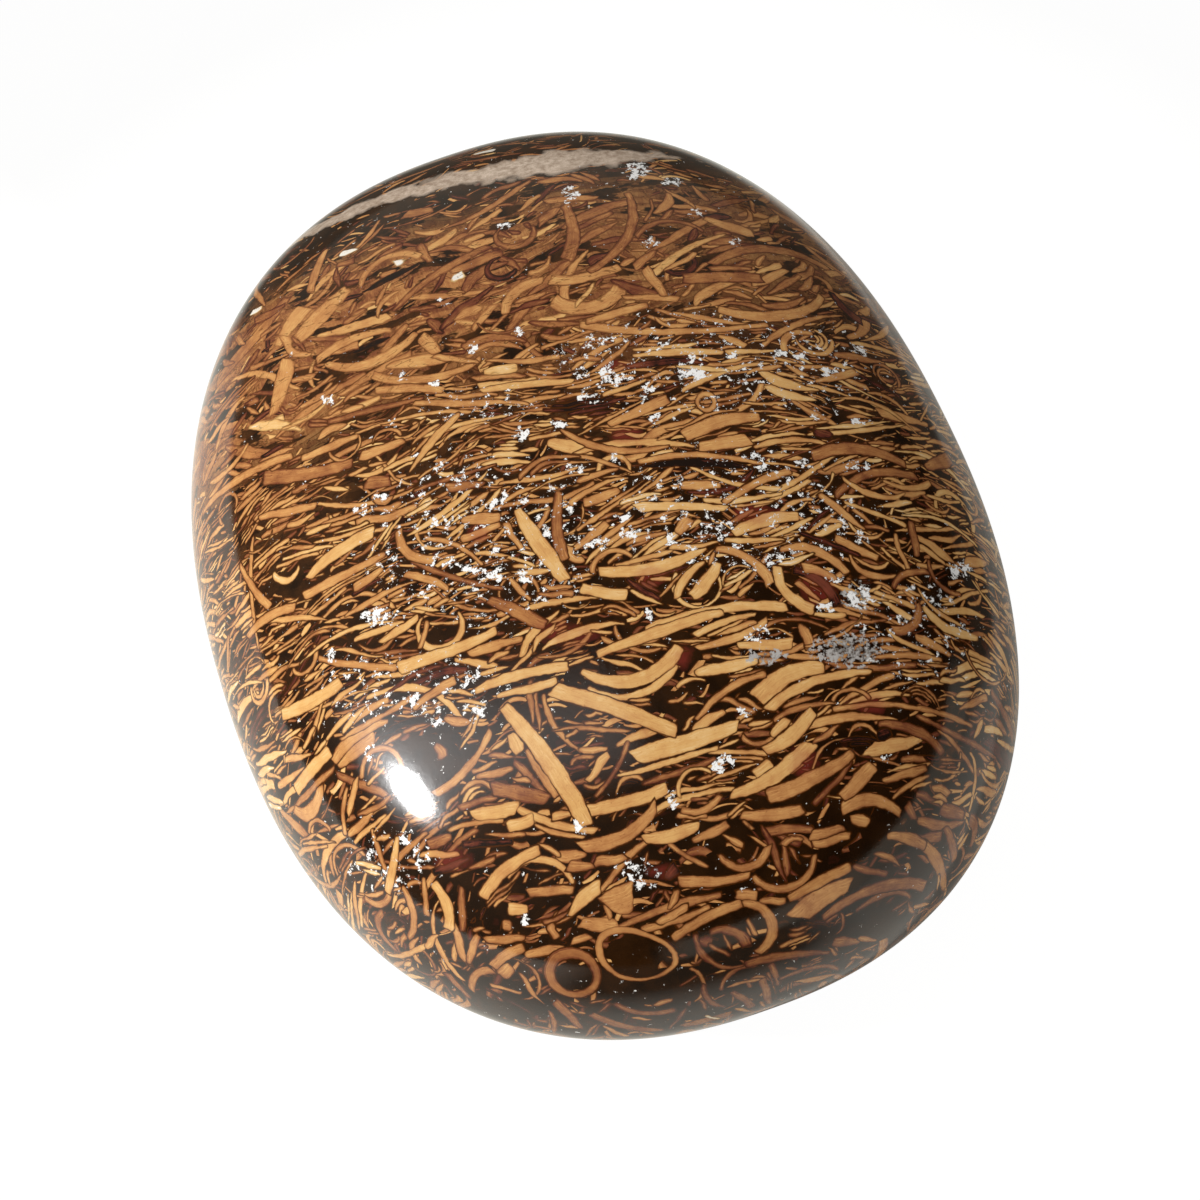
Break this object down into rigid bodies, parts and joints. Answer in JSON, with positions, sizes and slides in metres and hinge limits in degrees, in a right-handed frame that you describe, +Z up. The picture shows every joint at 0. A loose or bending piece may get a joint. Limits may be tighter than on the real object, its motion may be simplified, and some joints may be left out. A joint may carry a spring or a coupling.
{
  "type": "palm stone",
  "caption": "Smooth flattened oval palm stone of polished dark rock packed with golden fossil slivers, resting on a small flat spot.",
  "frame": {"origin": "middle of the bottom of the stone's box, on the surface that it rests on", "axes": "+Z up through the stone's thickness; +Y along its long axis, towards the slightly narrower end; +X across its width"},
  "size_m": [0.0498, 0.066, 0.0255],
  "materials": {
    "polished_fossil_stone": "polished: golden-brown fossil slivers with thin dark outlines in a maroon-black matrix"
  },
  "bodies": {
    "root": {"palm_stone": "polished_fossil_stone"}
  },
  "joints": []
}
